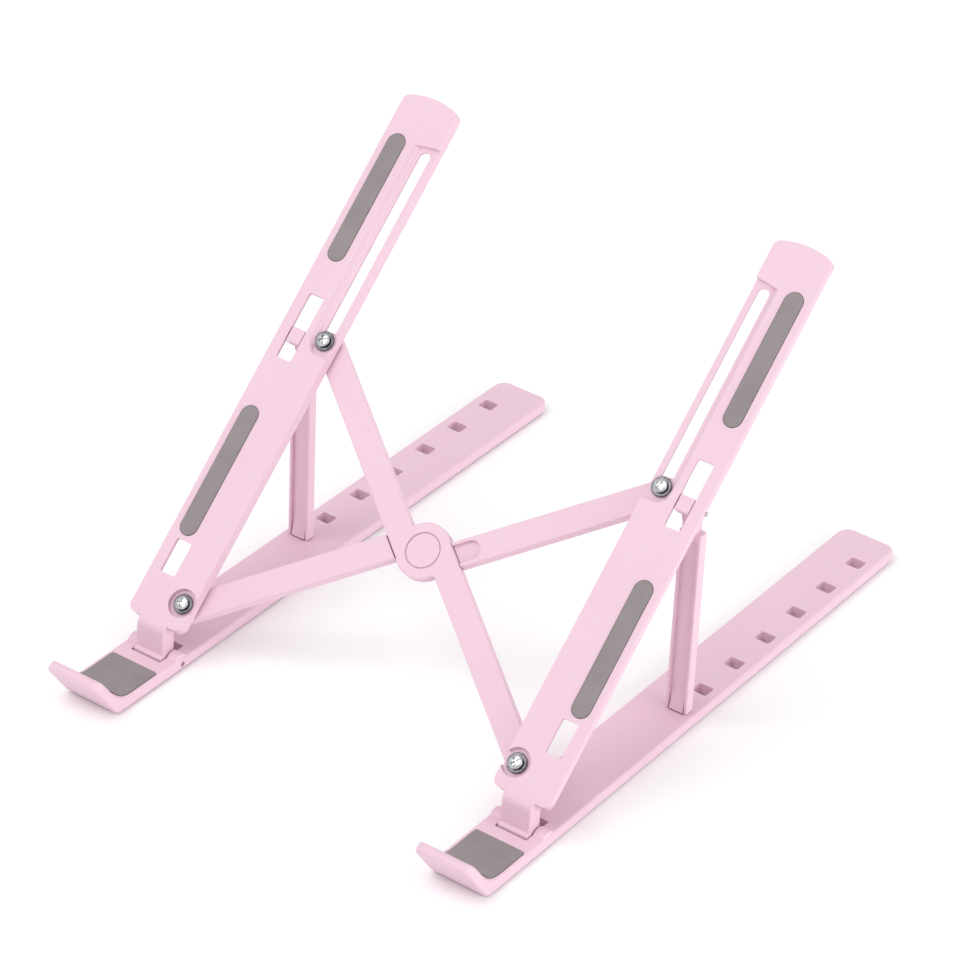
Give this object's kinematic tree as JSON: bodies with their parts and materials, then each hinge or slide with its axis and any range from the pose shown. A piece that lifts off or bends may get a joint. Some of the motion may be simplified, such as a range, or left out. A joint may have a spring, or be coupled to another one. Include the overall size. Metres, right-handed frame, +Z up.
{
  "type": "laptop stand",
  "caption": "Folding laptop stand: hooked base bars, hinged rails held up by swing-down struts, and a scissor of crossing arms that sets the width. Pink plastic with silicone pads.",
  "frame": {"origin": "on the desk, midway between the two sides and midway along the base bars", "axes": "+X to the user's right, +Y away from the user towards the raised end, +Z up; the hooks are at -Y"},
  "size_m": [0.1758, 0.2657, 0.1575],
  "materials": {
    "pink_plastic": "satin",
    "grey_silicone": "matte",
    "chrome": "polished",
    "dark_chrome": "polished"
  },
  "bodies": {
    "left_base": {"left_base_bar": "pink_plastic", "left_hinge_pin": "chrome", "left_hook_pad": "grey_silicone", "left_front_foot_pad": "grey_silicone", "left_rear_foot_pad": "grey_silicone"},
    "left_rail_body": {"left_rail": "pink_plastic", "left_lower_rail_pad": "grey_silicone", "left_upper_rail_pad": "grey_silicone", "left_strut_pin": "chrome", "left_lower_pivot_screw": "chrome", "left_lower_pivot_washer": "dark_chrome", "left_lower_pivot_nut": "chrome"},
    "left_strut_body": {"left_strut": "pink_plastic"},
    "right_base": {"right_base_bar": "pink_plastic", "right_hinge_pin": "chrome", "right_hook_pad": "grey_silicone", "right_front_foot_pad": "grey_silicone", "right_rear_foot_pad": "grey_silicone"},
    "right_rail_body": {"right_rail": "pink_plastic", "right_lower_rail_pad": "grey_silicone", "right_upper_rail_pad": "grey_silicone", "right_strut_pin": "chrome", "right_lower_pivot_screw": "chrome", "right_lower_pivot_washer": "dark_chrome", "right_lower_pivot_nut": "chrome"},
    "right_strut_body": {"right_strut": "pink_plastic"},
    "bottom_arm_body": {"bottom_cross_arm": "pink_plastic", "right_upper_pivot_screw": "chrome", "right_upper_pivot_washer": "dark_chrome", "right_upper_pivot_nut": "chrome"},
    "top_arm_body": {"top_cross_arm": "pink_plastic", "hub_cap": "pink_plastic", "hub_screw": "chrome", "left_upper_pivot_screw": "chrome", "left_upper_pivot_washer": "dark_chrome", "left_upper_pivot_nut": "chrome"}
  },
  "joints": [
    {"name": "rail_tilt", "type": "hinge", "parent": "left_base", "child": "left_rail_body", "pos_m": [-0.0763, -0.0875, 0.0027], "axis": [1, 0, 0], "range_deg": [0, 30]},
    {"name": "scissor_fold", "type": "hinge", "parent": "left_rail_body", "child": "bottom_arm_body", "pos_m": [-0.0695, -0.07966, 0.01998], "axis": [0, -0.6852, 0.7284], "range_deg": [0, 50.2]},
    {"name": "hub_pivot", "type": "hinge", "parent": "bottom_arm_body", "child": "top_arm_body", "pos_m": [0, -0.04233, 0.0551], "axis": [0, -0.6852, 0.7284], "range_deg": [-100.4, 0]},
    {"name": "right_arm_pivot", "type": "hinge", "parent": "top_arm_body", "child": "right_rail_body", "pos_m": [0.0695, -0.07966, 0.01998], "axis": [0, -0.6852, 0.7284], "range_deg": [0, 50.2]},
    {"name": "right_base_hinge", "type": "hinge", "parent": "right_rail_body", "child": "right_base", "pos_m": [0.0763, -0.0875, 0.0027], "axis": [1, 0, 0], "range_deg": [-30, 0]},
    {"name": "left_strut_swing", "type": "hinge", "parent": "left_rail_body", "child": "left_strut_body", "pos_m": [-0.0808, -0.00804, 0.09024], "axis": [1, 0, 0], "range_deg": [-42, 0]},
    {"name": "right_strut_swing", "type": "hinge", "parent": "right_rail_body", "child": "right_strut_body", "pos_m": [0.0808, -0.00804, 0.09024], "axis": [1, 0, 0], "range_deg": [-42, 0]}
  ],
  "couplings": [
    {"joint": "hub_pivot", "follows": "scissor_fold", "ratio": -2},
    {"joint": "right_arm_pivot", "follows": "scissor_fold", "ratio": 1},
    {"joint": "right_base_hinge", "follows": "rail_tilt", "ratio": -1},
    {"joint": "left_strut_swing", "follows": "rail_tilt", "ratio": -1.4},
    {"joint": "right_strut_swing", "follows": "rail_tilt", "ratio": -1.4}
  ]
}
